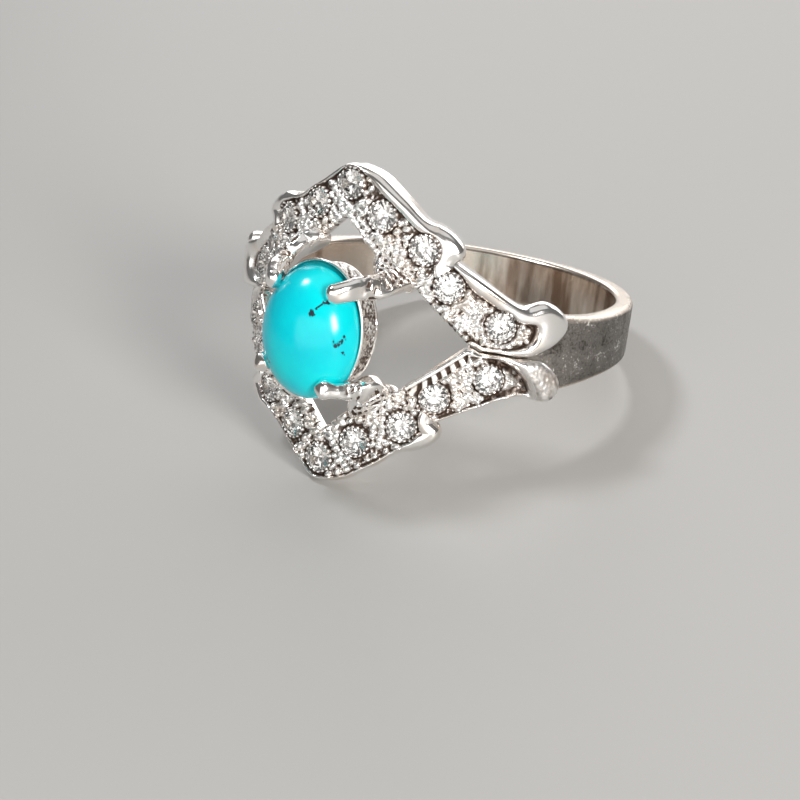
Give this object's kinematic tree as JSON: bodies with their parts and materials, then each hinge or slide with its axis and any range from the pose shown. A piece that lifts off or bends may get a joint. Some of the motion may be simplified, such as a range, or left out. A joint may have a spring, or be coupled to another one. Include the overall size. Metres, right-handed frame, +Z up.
{
  "type": "cocktail ring",
  "caption": "Cocktail ring whose openwork lozenge head wraps the finger, pavé-set along its arms, and lifts an oval cabochon in a pronged basket.",
  "frame": {"origin": "on the floor under the middle of the ring's box, with the ring lying on its side at rest", "axes": "+Z up, head facing -Y and up a little, +X to the right of the head seen from the front; the finger's axis leans back from +Z towards +Y by 19.4 degrees"},
  "size_m": [0.02, 0.0237, 0.0156],
  "materials": {
    "band_silver": "cast silver, sandblasted outside and polished inside",
    "head_silver": "polished silver with dark oxidised recesses between bright grains",
    "basket_silver": "silver with a fine bark texture, oxidised in the recesses",
    "prong_silver": "bright polished silver",
    "cabochon": "polished turquoise with a few small dark matrix spots",
    "clear_stone": "clear faceted round brilliants"
  },
  "bodies": {
    "root": {"shank": "band_silver", "crown_upper": "head_silver", "crown_lower": "head_silver", "shoulder_upper_right": "head_silver", "shoulder_upper_left": "head_silver", "shoulder_lower_right": "head_silver", "shoulder_lower_left": "head_silver", "bar_upper_right": "head_silver", "bar_upper_left": "head_silver", "bar_lower_right": "head_silver", "bar_lower_left": "head_silver", "basket": "basket_silver", "prong_upper_right": "prong_silver", "prong_upper_left": "prong_silver", "prong_lower_right": "prong_silver", "prong_lower_left": "prong_silver", "cabochon": "cabochon", "stone_upper_point": "clear_stone", "stone_lower_point": "clear_stone", "stone_upper_right_1": "clear_stone", "stone_upper_right_2": "clear_stone", "stone_upper_right_3": "clear_stone", "stone_upper_right_4": "clear_stone", "stone_upper_left_1": "clear_stone", "stone_upper_left_2": "clear_stone", "stone_upper_left_3": "clear_stone", "stone_upper_left_4": "clear_stone", "stone_lower_right_1": "clear_stone", "stone_lower_right_2": "clear_stone", "stone_lower_right_3": "clear_stone", "stone_lower_right_4": "clear_stone", "stone_lower_left_1": "clear_stone", "stone_lower_left_2": "clear_stone", "stone_lower_left_3": "clear_stone", "stone_lower_left_4": "clear_stone"}
  },
  "joints": []
}
